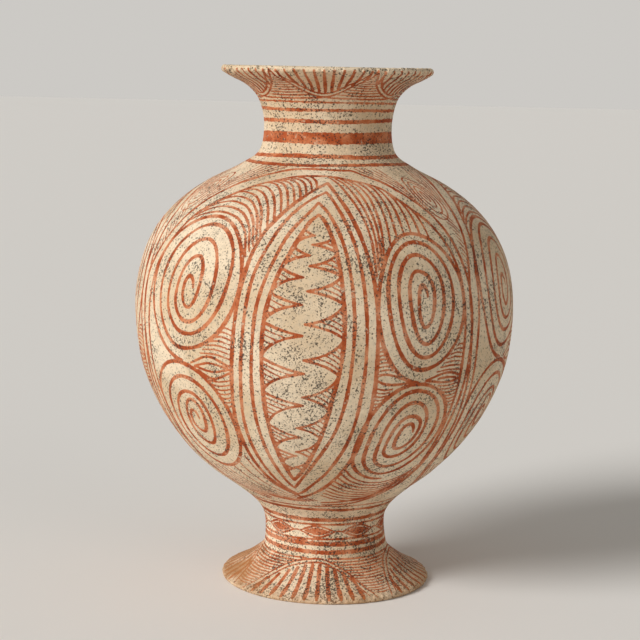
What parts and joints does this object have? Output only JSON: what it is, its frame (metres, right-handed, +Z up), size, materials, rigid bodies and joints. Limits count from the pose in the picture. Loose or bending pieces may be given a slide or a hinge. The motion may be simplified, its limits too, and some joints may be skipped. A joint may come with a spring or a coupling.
{
  "type": "pedestal jar",
  "caption": "Earthenware storage jar: wide rounded body on a short hollow pedestal foot, with a narrow neck and a flared mouth, painted all over.",
  "frame": {"origin": "on the ground under the middle of the foot", "axes": "+Z up along the jar's axis; -Y is the side that the picture shows, +X to its right"},
  "size_m": [0.28, 0.28, 0.382],
  "materials": {
    "painted_slip": "pale buff slip over fired clay, burnished, with fine orange-red brush lines",
    "worn_slip": "the same slip and paint, worn to the brown clay at the edge",
    "bare_clay": "bare orange-brown fired clay, finger-smoothed, under the paint"
  },
  "bodies": {
    "root": {"foot_flare": "worn_slip", "foot_stem": "painted_slip", "foot_luting_coil": "bare_clay", "base_bowl": "painted_slip", "lower_belly_wall": "painted_slip", "upper_belly_wall": "painted_slip", "lower_shoulder_wall": "painted_slip", "upper_shoulder_wall": "painted_slip", "neck_collar": "painted_slip", "rim_flare": "painted_slip", "rim_lip": "painted_slip"}
  },
  "joints": []
}
